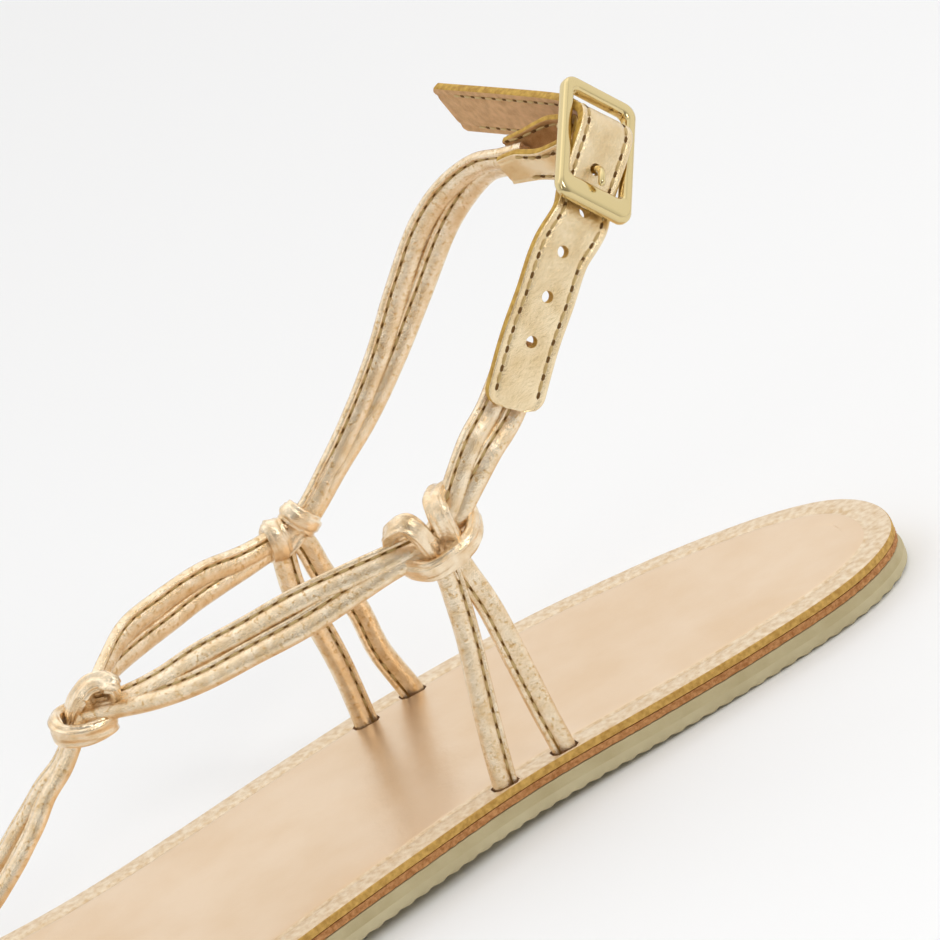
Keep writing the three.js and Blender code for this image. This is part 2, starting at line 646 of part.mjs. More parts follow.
// Chape: one leaf over the ankle cords' ends, round the bar and back under them
function chape() {
  const ankle = toRoute(pairs.medialAnkle);
  const cordEnd = ankle[ankle.length - 1];
  const before = ankle[ankle.length - 2];
  const bar = { at: atBuckle(barAlong, 0, -barDepth), across: buckleAcross };
  const grip = chapeGrip / chapeWidth;
  const middle = [
    bar,
    {
      at: bar.at.clone().lerp(cordEnd.at, 0.5),
      across: bar.across.clone().lerp(cordEnd.across, 0.5).normalize(),
      wide: (2 + grip) / 3,
      slack: chapeSlack,
    },
    { ...cordEnd, wide: (1 + 2 * grip) / 3 },
    { ...before, wide: grip },
  ];
  const offset = cordThickness / 2 + clearance + chapeThickness / 2;
  const leaf = (side) => middle.slice(1).map((row, i) => {
    const tangent = row.at.clone().sub(middle[i].at).normalize();
    const out = vec(0, 0, 0).crossVectors(row.across, tangent).normalize();
    const away = side * (offset + (row.slack ?? 0));
    return { at: row.at.clone().addScaledVector(out, away), across: row.across, wide: row.wide };
  });
  const pull = middle[1].at.clone().sub(bar.at);
  const heading = Math.atan2(pull.dot(buckleOut), pull.dot(buckleRun));
  const wrap = [90, 135, 180, 225, 270].map((degrees) => {
    const { run, out } = roundBar(chapeWrap, heading + THREE.MathUtils.degToRad(degrees));
    return { at: atBuckle(run, 0, out), across: buckleAcross };
  });
  const sides = [leaf(1), leaf(-1)].sort((a, b) => a[0].at.distanceTo(wrap[0].at) - b[0].at.distanceTo(wrap[0].at));
  const route = [...sides[0].reverse(), ...wrap, ...sides[1]];
  const leather = toSolid(sweep(route, section(chapeWidth, chapeThickness, strapCorner)));
  const reach = 2 * (prongLoop + prongRadius + clearance);
  const slot = new THREE.BoxGeometry(reach, 2 * (prongRadius + clearance), reach)
    .translate(barAlong, 0, -barDepth)
    .applyMatrix4(buckleBasis);
  return toGeometry(leather.subtract(toSolid(slot)));
}

// Finishes
const finishes = {
  rubber: { color: 0xcbc399, roughness: 0.75, metalness: 0 },
  board: { color: 0xd29a68, roughness: 0.9, metalness: 0 },
  sock: { color: 0xebd2b4, roughness: 0.45, metalness: 0.35 },
  cord: { color: 0xe3cb98, roughness: 0.32, metalness: 0.75 },
  strap: { color: 0xdcc69c, roughness: 0.38, metalness: 0.6 },
  metal: { color: 0xe6cf8e, roughness: 0.15, metalness: 1 },
};

function piece(name, geometry, finish) {
  const mesh = new THREE.Mesh(geometry, new THREE.MeshStandardMaterial(finishes[finish]));
  mesh.name = name;
  return mesh;
}

const sandal = new THREE.Group();
sandal.add(
  piece('outsole', outsole(), 'rubber'),
  piece('midsole_board', midsoleBoard(), 'board'),
  piece('insole', insole(), 'sock'),
  piece('upper', upper(), 'cord'),
  piece('billet_strap', billet(), 'strap'),
  piece('chape', chape(), 'strap'),
  piece('buckle_frame', buckleFrame(), 'metal'),
  piece('buckle_prong', bucklePin(), 'metal'),
);

export default sandal;
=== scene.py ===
import math

import bmesh
import bpy
import numpy as np
from mathutils import Matrix


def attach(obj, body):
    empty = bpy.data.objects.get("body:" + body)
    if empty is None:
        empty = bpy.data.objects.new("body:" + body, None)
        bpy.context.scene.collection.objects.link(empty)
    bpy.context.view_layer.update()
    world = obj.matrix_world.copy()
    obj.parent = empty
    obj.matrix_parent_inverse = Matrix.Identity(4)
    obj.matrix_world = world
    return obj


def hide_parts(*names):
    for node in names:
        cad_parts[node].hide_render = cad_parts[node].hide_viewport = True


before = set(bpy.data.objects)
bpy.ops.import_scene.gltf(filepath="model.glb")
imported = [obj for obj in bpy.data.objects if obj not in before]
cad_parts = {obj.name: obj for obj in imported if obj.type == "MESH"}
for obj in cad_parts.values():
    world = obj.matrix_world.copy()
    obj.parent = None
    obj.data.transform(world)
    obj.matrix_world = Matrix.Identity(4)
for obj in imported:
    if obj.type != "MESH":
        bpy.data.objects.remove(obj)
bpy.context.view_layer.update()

# Sizes in millimetres, as in the part
SOLE_LENGTH = 250.0
SOLE_WIDTH = 76.0
HEEL_SET = 32.0
ARCH_HEIGHT = 1.7
TOE_SPRING = 5.0
OUTSOLE_TOP = 4.0
STEP_DEPTH = 0.4
BOARD_BOTTOM = 4.2
BOARD_TOP = 5.4
INSOLE_BOTTOM = 5.6
INSOLE_TOP = 7.0
ANKLE_SPAN = 42.0
LOOP_HEIGHT = 84.0
CORD_WIDTH = 4.2
CORD_THICKNESS = 2.6
CLEARANCE = 0.3
KNOT_WIDTH = 3.6
KNOT_THICKNESS = 2.2
BILLET_WIDTH = 10.2
TIP_LENGTH = 42.0
TIP_DRIFT = 4.5
BILLET_THICKNESS = 1.6
HOLE_RADIUS = 1.0
HOLE_PITCH = 7.5
HOLE_COUNT = 4
CHAPE_WIDTH = 9.4
CHAPE_GRIP = 5.6
CHAPE_THICKNESS = 1.2
CHAPE_SLACK = 1.0
FRAME_LENGTH = 24.0
FRAME_WIDTH = 14.4
FRAME_DEPTH = 2.2
FRAME_CORNER = 2.2
SIDE_BAR = 1.9
LOW_BAR = 4.4
TOP_BAR = 2.5
BAR_RADIUS = 0.9
BAR_ALONG = 3.1
BAR_DEPTH = 1.3
PRONG_RADIUS = 0.7
PRONG_INSET = 3.9
PRONG_DIP = 3.2
PRONG_REACH = 0.8

# Sizes of what only the scene has
STITCH_PITCH = 2.7
STITCH_REACH = 0.36
PINHOLE_DEPTH = 0.14
SEAM_OFFSET = 1.05
SEAM_HEIGHT = 0.47
SEAM_START = 6
CORD_SINK = 1.1
SLOT_CUT = 2.8
SLOT_CHAMFER = 0.8
TREAD_PITCH = 3.2
TREAD_DEPTH = 0.6
TREAD_RISE = 0.7
BILLET_GROOVE = 1.4
CHAPE_GROOVE = 1.3
CHAPE_SEAM = 1.1
CHAPE_BARE = 5.5
HOLE_CUT = 3

# Sole outline: share of the length, lateral and medial half widths as shares
OUTLINE = np.array([
    (0.0, 0.0, 0.0),
    (0.012, 0.151, 0.138),
    (0.04, 0.237, 0.23),
    (0.08, 0.286, 0.301),
    (0.14, 0.309, 0.37),
    (0.22, 0.325, 0.414),
    (0.32, 0.348, 0.402),
    (0.42, 0.411, 0.36),
    (0.52, 0.467, 0.328),
    (0.6, 0.515, 0.326),
    (0.68, 0.546, 0.361),
    (0.76, 0.536, 0.422),
    (0.86, 0.451, 0.449),
    (0.95, 0.282, 0.32),
    (1.0, 0.0, 0.0),
])

# Strap routes: along, across, up, the direction across the strap, and spread
LATERAL_INSTEP = [
    (0.313, 0.5, 0.492, 0.04, 0.28, -0.91, 0.25),
    (0.345, 0.486, 0.492, 0.04, 0.28, -0.91, 0.35),
    (0.374, 0.443, 0.483, 0.1, 0.4, -0.88, 0.65),
    (0.408, 0.376, 0.469, 0.18, 0.55, -0.78, 0.98),
    (0.442, 0.295, 0.454, 0.24, 0.7, -0.65, 1.02),
    (0.476, 0.205, 0.44, 0.26, 0.75, -0.6, 1.05),
    (0.502, 0.119, 0.429, 0.3, 0.8, -0.5, 0.7),
    (0.527, 0.012, 0.426, 0.3, 0.85, -0.4, 0.3),
    (0.548, -0.071, 0.431, 0.3, 0.85, -0.3, 0.2),
]
MEDIAL_INSTEP = [
    (0.36, -0.488, 0.448, -0.12, 0.28, 0.92, 0.25),
    (0.395, -0.467, 0.446, -0.12, 0.28, 0.92, 0.45),
    (0.428, -0.419, 0.458, -0.15, 0.28, 0.94, 0.9),
    (0.463, -0.357, 0.461, -0.2, 0.26, 0.94, 1.1),
    (0.494, -0.276, 0.465, -0.22, 0.2, 0.95, 1.0),
    (0.522, -0.167, 0.456, -0.24, 0.4, 0.88, 0.45),
    (0.548, -0.04, 0.44, -0.24, 0.7, 0.65, 0.2),
]
LATERAL_ANKLE = [
    (0.313, 0.5, 0.492, 0.69, 0, 0.72, 0.25),
    (0.298, 0.505, 0.525, 0.69, 0, 0.72, 0.4),
    (0.28, 0.507, 0.575, 0.69, 0, 0.72, 0.7),
    (0.262, 0.498, 0.619, 0.69, 0, 0.72, 0.9),
    (0.24, 0.469, 0.656, 0.69, 0, 0.72, 0.98),
    (0.204, 0.455, 0.757, 0.68, 0, 0.73, 0.98),
]
MEDIAL_ANKLE = [
    (0.36, -0.488, 0.448, 0.72, 0, 0.69, 0.25),
    (0.343, -0.488, 0.465, 0.72, 0, 0.69, 0.14),
    (0.312, -0.5, 0.528, 0.7, 0, 0.71, 0.2),
    (0.279, -0.512, 0.599, 0.7, 0, 0.71, 0.5),
    (0.246, -0.512, 0.688, 0.69, 0, 0.72, 0.72),
    (0.218, -0.488, 0.783, 0.66, 0, 0.75, 0.95),
    (0.188, -0.429, 0.889, 0.58, 0, 0.81, 1.0),
    (0.169, -0.333, 0.948, 0.5, 0, 0.87, 0.8),
    (0.152, -0.202, 0.989, 0.43, 0, 0.9, 0.45),
    (0.141, -0.06, 1.0, 0.41, 0, 0.91, 0.3),
    (0.131, 0.013, 1.004, 0.45, 0, 0.89, 0.3),
]
THONG = [
    (0.548, -0.071, 0.431, 0, 1, 0, 0.35),
    (0.572, -0.097, 0.358, 0, 1, 0, 0.45),
    (0.591, -0.119, 0.321, 0, 1, 0, 0.75),
    (0.61, -0.133, 0.275, 0, 1, 0, 1.3),
    (0.658, -0.178, 0.179, 0, 1, 0, 1.7),
    (0.728, -0.228, 0.105, 0, 1, 0, 1.6),
    (0.785, -0.265, 0.05, 0, 1, 0, 1.2),
    (0.808, -0.28, 0.0, 0, 1, 0, 1.0),
]
LATERAL_FRONT = [
    (0.313, 0.5, 0.472, 1, 0, 0, 0),
    (0.314, 0.5, 0.456, 1, 0, 0, 0),
    (0.316, 0.512, 0.4, 1, 0, 0, 0),
    (0.322, 0.538, 0.289, 1, 0, 0, 0),
    (0.328, 0.557, 0.212, 1, 0, 0, 0),
    (0.335, 0.576, 0.112, 1, 0, 0, 0),
    (0.341, 0.586, 0.0, 1, 0, 0, 0),
]
LATERAL_BACK = [
    (0.313, 0.5, 0.472, 1, 0, 0, 0),
    (0.308, 0.5, 0.456, 1, 0, 0, 0),
    (0.304, 0.507, 0.401, 1, 0, 0, 0),
    (0.3, 0.519, 0.33, 1, 0, 0, 0),
    (0.298, 0.538, 0.205, 1, 0, 0, 0),
    (0.296, 0.548, 0.079, 1, 0, 0, 0),
    (0.294, 0.552, 0.0, 1, 0, 0, 0),
]
MEDIAL_FRONT = [
    (0.366, -0.488, 0.446, 1, 0, 0, 0),
    (0.369, -0.488, 0.404, 1, 0, 0, 0),
    (0.371, -0.505, 0.329, 1, 0, 0, 0),
    (0.365, -0.524, 0.234, 1, 0, 0, 0),
    (0.362, -0.543, 0.134, 1, 0, 0, 0),
    (0.362, -0.555, 0.0, 1, 0, 0, 0),
]
MEDIAL_BACK = [
    (0.356, -0.488, 0.446, 1, 0, 0, 0),
    (0.352, -0.488, 0.412, 1, 0, 0, 0),
    (0.348, -0.512, 0.331, 1, 0, 0, 0),
    (0.336, -0.543, 0.24, 1, 0, 0, 0),
    (0.332, -0.579, 0.12, 1, 0, 0, 0),
    (0.322, -0.605, 0.0, 1, 0, 0, 0),
]
BILLET_RISE = [
    (0.235, 0.531, 0.665, 0.69, 0, 0.72, 0),
    (0.206, 0.526, 0.767, 0.67, 0, 0.74, 0),
    (0.185, 0.512, 0.826, 0.65, 0, 0.76, 0),
    (0.163, 0.488, 0.886, 0.62, 0, 0.78, 0),
]

# Knots: closed wraps as offsets from the knot's centre in cord widths
LATERAL_KNOT = [
    [(-1.15, -0.5, 1.5), (-0.46, 0.29, 1.62), (-0.25, 0.8, 1.2), (-0.32, 0.74, 0.4),
     (-0.59, 0.12, -0.35), (-1.02, -0.6, 0.02), (-1.2, -0.68, 0.8)],
    [(1.5, -0.4, 0.85), (1.42, 0.29, 1.38), (1.06, 0.79, 1.5), (0.83, 0.94, 1.12),
     (0.57, 0.8, 0.36), (0.2, 0.12, -0.43), (0.34, -0.58, -0.38), (0.98, -0.66, 0.09)],
    [(1.48, -0.4, -0.31), (1.24, 0.36, -0.53), (0.82, 0.76, -0.66), (-0.04, 0.9, -0.58),
     (-0.95, 0.76, -0.38), (-1.52, 0.24, -0.1), (-1.76, -0.4, 0.18), (-1.1, -0.8, -0.11),
     (0.14, -0.85, -0.48)],
]
MEDIAL_KNOT = [
    [(0.54, 0.43, 0.04), (0.48, 0.3, 0.49), (0.45, 0.0, 0.68), (0.5, -0.3, 0.49),
     (0.58, -0.43, 0.04), (0.63, -0.3, -0.41), (0.63, 0.0, -0.6), (0.6, 0.3, -0.41)],
    [(-0.7, 0.43, 0.34), (-0.46, 0.3, 0.72), (-0.36, 0.0, 0.88), (-0.46, -0.3, 0.72),
     (-0.7, -0.43, 0.34), (-0.95, -0.3, -0.05), (-1.05, 0.0, -0.2), (-0.95, 0.3, -0.05)],
    [(0.75, -0.3, -0.55), (0.45, -0.75, -0.75), (-0.1, -0.85, -0.7), (-0.65, -0.75, -0.3),
     (-1.0, -0.35, 0.05), (-0.5, 0.0, -0.1), (0.2, 0.05, -0.35)],
]
FRONT_KNOT = [
    [(-1.31, 1.07, 0.65), (-1.13, 0.6, 0.93), (-0.63, 0.36, 0.97), (-0.04, 0.19, 0.62),
     (0.39, -0.24, -0.07), (-0.08, -0.95, -0.79), (-0.95, -0.36, -0.25)],
    [(0.59, -0.95, -0.13), (1.08, -0.24, -0.04), (1.13, 0.48, -0.24), (0.63, 0.9, -0.44),
     (-0.02, 1.0, -0.57), (-0.74, 0.71, -0.67), (-0.69, -0.6, -0.72), (-0.2, -1.31, -0.43)],
]
KNOTS = [
    ((0.313, 0.5, 0.492), LATERAL_KNOT),
    ((0.36, -0.488, 0.448), MEDIAL_KNOT),
    ((0.548, -0.071, 0.431), FRONT_KNOT),
]


def unit(v):
    v = np.asarray(v, float)
    return v / np.linalg.norm(v, axis=-1, keepdims=True)


RUN = unit((-0.577, -0.676, 0.459))
ACROSS = unit((0.606, 0.023, 0.795))
OUT = np.cross(RUN, ACROSS)


def floor_rise(share):
    arch = np.sin(np.pi * np.clip((share - 0.14) / 0.54, 0, 1)) ** 2
    spring = np.clip((share - 0.84) / 0.16, 0, 1) ** 2
    return ARCH_HEIGHT * arch + TOE_SPRING * spring


def half_width(column, s):
    stations = np.arccos(1 - 2 * OUTLINE[:, 0]) / np.pi
    values = OUTLINE[:, column] * SOLE_WIDTH
    last = len(stations) - 1
    below = np.maximum(np.arange(last + 1) - 1, 0)
    above = np.minimum(np.arange(last + 1) + 1, last)
    slope = (values[above] - values[below]) / (stations[above] - stations[below])
    i = np.clip(np.searchsorted(stations, s, side="right") - 1, 0, last - 1)
    span = stations[i + 1] - stations[i]
    t = (s - stations[i]) / span
    return (
        values[i] * (1 + 2 * t) * (1 - t) ** 2
        + values[i + 1] * t * t * (3 - 2 * t)
        + slope[i] * span * t * (1 - t) ** 2
        + slope[i + 1] * span * t * t * (t - 1)
    )


def place(along, across, up):
    height = INSOLE_TOP + floor_rise(along) + up * LOOP_HEIGHT
    return np.array((along * SOLE_LENGTH - HEEL_SET, across * ANKLE_SPAN, height))


SEAT = place(0.105, 0.31, 1.0)


def at_buckle(run, across, out):
    return SEAT + RUN * run + ACROSS * across + OUT * out


def to_route(rows):
    return [(place(*row[:3]), unit(row[3:6]), row[6]) for row in rows]


def strand(route, side):
    moved = []
    for i, (at, across, spread) in enumerate(route):
        tangent = unit(route[min(i + 1, len(route) - 1)][0] - route[max(i - 1, 0)][0])
        across = unit(across - tangent * np.dot(across, tangent))
        moved.append((at + across * side * spread * CORD_WIDTH / 2, across, 0))
    return moved


def seated(route, stop):
    at, across, spread = route[-1]
    return route + [(at - np.array((0, 0, stop)), across, spread)]


# Cords that end in the insole's slots: four struts and the thong pair
SLOTTED = [to_route(rows) for rows in (LATERAL_FRONT, LATERAL_BACK, MEDIAL_FRONT, MEDIAL_BACK)]
SLOTTED += [strand(to_route(THONG), side) for side in (-1, 1)]


def spline(points, closed=False, even=False, per_span=32):
    points = np.asarray(points, float)
    count = len(points)
    rows = []
    for i in range(count if closed else count - 1):
        p1 = points[i]
        p2 = points[(i + 1) % count]
        p0 = points[i - 1] if closed or i > 0 else 2 * p1 - p2
        p3 = points[(i + 2) % count] if closed or i + 2 < count else 2 * p2 - p1
        if even:
            m1 = (p2 - p0) / 2
            m2 = (p3 - p1) / 2
        else:
            d0, d1, d2 = (max(np.linalg.norm(b - a), 1e-6) ** 0.5 for a, b in ((p0, p1), (p1, p2), (p2, p3)))
            m1 = ((p1 - p0) / d0 - (p2 - p0) / (d0 + d1) + (p2 - p1) / d1) * d1
            m2 = ((p2 - p1) / d1 - (p3 - p1) / (d1 + d2) + (p3 - p2) / d2) * d1
        t = np.linspace(0, 1, per_span, endpoint=False)[:, None]
        a = 3 * (p2 - p1) - 2 * m1 - m2
        b = 2 * (p1 - p2) + m1 + m2
        rows.append(p1 + m1 * t + a * t**2 + b * t**3)
    rows.append(points[:1] if closed else points[-1:])
    return np.concatenate(rows)


class Path:
    """Even steps along a route, each with its place, across and out directions."""

    def __init__(self, route, step=0.6, closed=False):
        centre = spline([row[0] for row in route], closed)
        turn = spline([row[1] for row in route], closed, even=True)
        lengths = np.linalg.norm(np.diff(centre, axis=0), axis=1)
        reach = np.concatenate(([0], np.cumsum(lengths)))
        self.length = reach[-1]
        self.closed = closed
        steps = max(int(round(self.length / step)), 8)
        self.s = np.linspace(0, self.length, steps + 1)
        if closed:
            self.s = self.s[:-1]
        self._reach = reach
        self._centre = centre
        self._turn = turn
        self._tangent = unit(np.gradient(centre, axis=0))
        self.at, self.across, self.out, self.tangent = self.frames(self.s)

    def frames(self, s):
        s = np.atleast_1d(s)

        def pick(rows):
            return np.stack([np.interp(s, self._reach, rows[:, k]) for k in range(3)], 1)

        at = pick(self._centre)
        tangent = unit(pick(self._tangent))
        across = pick(self._turn)
        across = unit(across - tangent * np.sum(across * tangent, 1)[:, None])
        return at, across, np.cross(across, tangent), tangent

    def shares(self, values):
        """One value for each row of the route, read at each step."""
        rows = spline([(value, 0, 0) for value in values], self.closed, even=True)
        return np.interp(self.s, self._reach, rows[:, 0])

    def skin(self, profile):
        """Rings of points; profile is (points, 2) or (rings, points, 2)."""
        profile = np.broadcast_to(profile, (len(self.s),) + profile.shape[-2:])
        return (
            self.at[:, None]
            + self.across[:, None] * profile[..., :1]
            + self.out[:, None] * profile[..., 1:]
        )


class Shape:
    """Patches of faces gathered into one object."""

    def __init__(self, name, materials):
        self.name = name
        self.materials = materials
        self.points = []
        self.faces = []
        self.slots = []
        self.count = 0

    def grid(self, rows, wrap_rows=False, wrap_columns=False, slot=0):
        """rows is (m, n, 3). slot is one number, or a list with one for each column or row."""
        rows = np.asarray(rows, float)
        m, n = rows.shape[:2]
        base = self.count
        self.points.append(rows.reshape(-1, 3))
        self.count += m * n
        i = np.arange(m if wrap_rows else m - 1)[:, None]
        j = np.arange(n if wrap_columns else n - 1)[None, :]
        a = base + i * n + j
        b = base + i * n + (j + 1) % n
        c = base + (i + 1) % m * n + (j + 1) % n
        d = base + (i + 1) % m * n + j
        self.faces += np.stack((a, b, c, d), -1).reshape(-1, 4).tolist()
        self.slots += np.broadcast_to(slot, (i.size, j.size)).reshape(-1).tolist()

    def cap(self, ring, slot=0):
        base = self.count
        self.points.append(np.asarray(ring, float))
        self.count += len(ring)
        self.faces.append(list(range(base, base + len(ring))))
        self.slots.append(slot)

    def tube(self, rings, closed=False, slot=0, end_slot=0):
        self.grid(rings, wrap_rows=closed, wrap_columns=True, slot=slot)
        if not closed:
            self.cap(rings[0][::-1], end_slot)
            self.cap(rings[-1], end_slot)

    def build(self, smooth=40):
        mesh = bpy.data.meshes.new(self.name)
        mesh.from_pydata((np.concatenate(self.points) / 1000).tolist(), [], self.faces)
        mesh.polygons.foreach_set("material_index", self.slots)
        for material in self.materials:
            mesh.materials.append(material)
        work = bmesh.new()
        work.from_mesh(mesh)
        bmesh.ops.remove_doubles(work, verts=work.verts, dist=1e-6)
        bmesh.ops.recalc_face_normals(work, faces=work.faces)
        work.to_mesh(mesh)
        work.free()
        mesh.shade_smooth()
        mesh.set_sharp_from_angle(angle=math.radians(smooth))
        obj = bpy.data.objects.new(self.name, mesh)
        bpy.context.scene.collection.objects.link(obj)
        return obj


def finish_piece(obj, finish, *nodes):
    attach(obj, "root")
    if nodes:
        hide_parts(*nodes)


def cut(obj, cutters, smooth=40):
    """Takes the cutters out of obj."""
    cutter = cutters.build()
    modifier = obj.modifiers.new("cut", "BOOLEAN")
    modifier.operation = "DIFFERENCE"
    modifier.solver = "EXACT"
    modifier.use_self = True
    modifier.object = cutter
    bpy.context.view_layer.update()
    evaluated = obj.evaluated_get(bpy.context.evaluated_depsgraph_get())
    mesh = bpy.data.meshes.new_from_object(evaluated)
    obj.modifiers.clear()
    obj.data = mesh
    mesh.set_sharp_from_angle(angle=math.radians(smooth))
    bpy.data.objects.remove(cutter)
    return obj


# Materials
def linear(code):
    """A hex colour as linear RGBA."""
    parts = [int(code[i:i + 2], 16) / 255 for i in (0, 2, 4)]
    return tuple(c / 12.92 if c <= 0.04045 else ((c + 0.055) / 1.055) ** 2.4 for c in parts) + (1.0,)


def material(
    name, colour, roughness, metallic,
    second=None, patch=4.0, grain=0.5, bump=0.0, coat=0.0, speck=None, spots=0.8,
):
    """A finish with a second colour in soft patches, dark specks and a grain; sizes are in mm."""
    made = bpy.data.materials.new(name)
    made.use_nodes = True
    nodes = made.node_tree.nodes
    links = made.node_tree.links
    shader = nodes["Principled BSDF"]
    shader.inputs["Base Color"].default_value = linear(colour)
    shader.inputs["Roughness"].default_value = roughness
    shader.inputs["Metallic"].default_value = metallic
    shader.inputs["Coat Weight"].default_value = coat
    shader.inputs["Coat Roughness"].default_value = 0.25
    place_node = nodes.new("ShaderNodeTexCoord")
    if second:
        patches = nodes.new("ShaderNodeTexNoise")
        patches.inputs["Scale"].default_value = 1000 / patch
        patches.inputs["Detail"].default_value = 5
        links.new(place_node.outputs["Object"], patches.inputs["Vector"])
        ramp = nodes.new("ShaderNodeValToRGB")
        ramp.color_ramp.elements[0].position = 0.35
        ramp.color_ramp.elements[0].color = linear(colour)
        ramp.color_ramp.elements[1].position = 0.68
        ramp.color_ramp.elements[1].color = linear(second)
        links.new(patches.outputs["Fac"], ramp.inputs["Fac"])
        links.new(ramp.outputs["Color"], shader.inputs["Base Color"])
    if speck:
        dots = nodes.new("ShaderNodeTexNoise")
        dots.inputs["Scale"].default_value = 1000 / spots
        dots.inputs["Detail"].default_value = 3
        links.new(place_node.outputs["Object"], dots.inputs["Vector"])
        gate = nodes.new("ShaderNodeMapRange")
        gate.inputs["From Min"].default_value = 0.56
        gate.inputs["From Max"].default_value = 0.68
        links.new(dots.outputs["Fac"], gate.inputs["Value"])
        blend = nodes.new("ShaderNodeMixRGB")
        blend.inputs["Color2"].default_value = linear(speck)
        links.new(gate.outputs["Result"], blend.inputs["Fac"])
        links.new(ramp.outputs["Color"], blend.inputs["Color1"])
        links.new(blend.outputs["Color"], shader.inputs["Base Color"])
    if bump:
        texture = nodes.new("ShaderNodeTexNoise")
        texture.inputs["Scale"].default_value = 1000 / grain
        texture.inputs["Detail"].default_value = 6
        texture.inputs["Roughness"].default_value = 0.65
        links.new(place_node.outputs["Object"], texture.inputs["Vector"])
        relief = nodes.new("ShaderNodeBump")
        relief.inputs["Strength"].default_value = 0.6
        relief.inputs["Distance"].default_value = bump / 1000
        links.new(texture.outputs["Fac"], relief.inputs["Height"])
        links.new(relief.outputs["Normal"], shader.inputs["Normal"])
    return made


GOLD = material(
    "cord_gold", "fbe8ca", 0.24, 0.9, second="e8cba0", patch=2.2, grain=0.7, bump=0.28, coat=0.35,
    speck="dbb67e", spots=0.7,
)
GOLD_KNOT = material(
    "knot_gold", "fbe8ca", 0.22, 0.92, second="e5c598", patch=2.4, grain=1.1, bump=0.28, coat=0.35,
)
# Darker brown for the crease between each cord's roll and its flange: painted shade
VALLEY_SHADE = material("cord_valley_shade", "c29c5e", 0.5, 0.6, second="9a743c", patch=1.0, grain=0.4, bump=0.3)
THREAD = material("thread_gold", "c6aa72", 0.5, 0.3)
# Dark beads set in the stitch pinholes: painted shade in the holes
PINHOLE_SHADE = material("pinhole_shade", "6a4a1e", 0.95, 0.0)
STRAP = material(
    "strap_gold", "f7e2ba", 0.27, 0.9, second="e6cb9c", patch=4.0, grain=0.9, bump=0.3, coat=0.3,
)
STRAP_BACK = material("strap_back", "d8aa74", 0.55, 0.25, second="be9058", patch=1.6, grain=0.5, bump=0.4)
EDGE = material("raw_edge", "dab04c", 0.7, 0.0, second="b3842c", patch=1.0, grain=0.35, bump=0.45)
SOLE_EDGE = material("sole_edge", "dcb05c", 0.8, 0.0, second="b8893c", patch=0.9, grain=0.3, bump=0.45)
SOCK = material("sock_gold", "e9d0b2", 0.3, 0.8, second="e3c6a3", patch=14, grain=1.6, bump=0.12)
SOCK_RIM = material("sock_rim", "efdcc0", 0.34, 0.8, second="d9bb92", patch=1.2, grain=0.5, bump=0.35)
BOARD = material("board_fibre", "d49a62", 0.95, 0.0, second="a96c38", patch=0.7, grain=0.3, bump=0.5)
# A darker copy of the rubber for the upper part of the outsole's side: painted shade under the overhanging
# insole
RUBBER_UPPER_SHADE = material("rubber_upper_shade", "c2b48c", 0.7, 0.0, second="b6a67c", patch=6, grain=0.5, bump=0.05)
RUBBER_LOW = material("rubber_low", "c8bb95", 0.75, 0.0, second="beb089", patch=8, grain=0.5, bump=0.05)
METAL = material("buckle_gold", "dcc894", 0.16, 1.0)


# Sole
def outline_loop(count):
    s = np.concatenate((np.arange(count + 1), np.arange(count - 1, 0, -1))) / count
    share = (1 - np.cos(np.pi * s)) / 2
    lateral = np.arange(2 * count) <= count
    y = np.where(lateral, half_width(1, s), -half_width(2, s))
    x = share * SOLE_LENGTH - HEEL_SET
    before = np.roll(np.arange(2 * count), 1)
    after = np.roll(np.arange(2 * count), -1)
    normal = unit(np.stack((y[after] - y[before], x[before] - x[after]), 1))
    return share, x, y, normal


def sole_rings(count, steps, wobble=None):
    share, x, y, normal = outline_loop(count)
    rings = []
    for height, inset in steps:
        depth = inset + (0 if wobble is None else wobble(len(x)))
        rings.append(np.stack((
            x + depth * normal[:, 0],
            y + depth * normal[:, 1],
            floor_rise(share) + height,
        ), 1))
    return np.array(rings)


def sole_face(ring, columns, relief=None):
    """Rows of points from the lateral to the medial side, over the ring."""
    count = len(ring) // 2
    lateral = ring[:count + 1]
    medial = np.concatenate((ring[:1], ring[:count - 1:-1]))
    t = np.linspace(0, 1, columns)[None, :, None]
    rows = lateral[:, None] * (1 - t) + medial[:, None] * t
    if relief is not None:
        rows[..., 2] += relief(rows[..., 0], rows[..., 1], t[..., 0])
    return rows


def tread(x):
    """Shallow ripples across the sole, each rising slowly and falling fast."""
    phase = (x / TREAD_PITCH) % 1.0
    rise = (phase / TREAD_RISE) ** 1.6
    fall = 1 - (phase - TREAD_RISE) / 0.3
    return TREAD_DEPTH * np.where(phase < TREAD_RISE, rise, fall)


def build_outsole():
    shape = Shape("outsole_rubber", [RUBBER_LOW, RUBBER_UPPER_SHADE])
    steps = [
        (0, 0.8), (0.22, 0.34), (0.8, 0), (2.2, 0), (2.32, 0.06),
        (2.45, 0.3), (2.62, 0.4), (3.8, 0.4), (OUTSOLE_TOP, 0.55),
    ]
    rings = sole_rings(620, steps)
    rings[0][:, 2] += tread(rings[0][:, 0])
    rings[1][:, 2] += 0.6 * tread(rings[1][:, 0])
    # The upper bands of the side take the darker copy: painted shade under the insole's overhang
    upper_shade_slots = np.array([0, 0, 0, 0, 1, 1, 1, 1])[:, None]
    shape.grid(rings, wrap_columns=True, slot=upper_shade_slots)
    shape.grid(sole_face(rings[0], 7), slot=0)
    shape.grid(sole_face(rings[-1], 7), slot=1)
    finish_piece(shape.build(smooth=35), "outsole_rubber", "outsole")


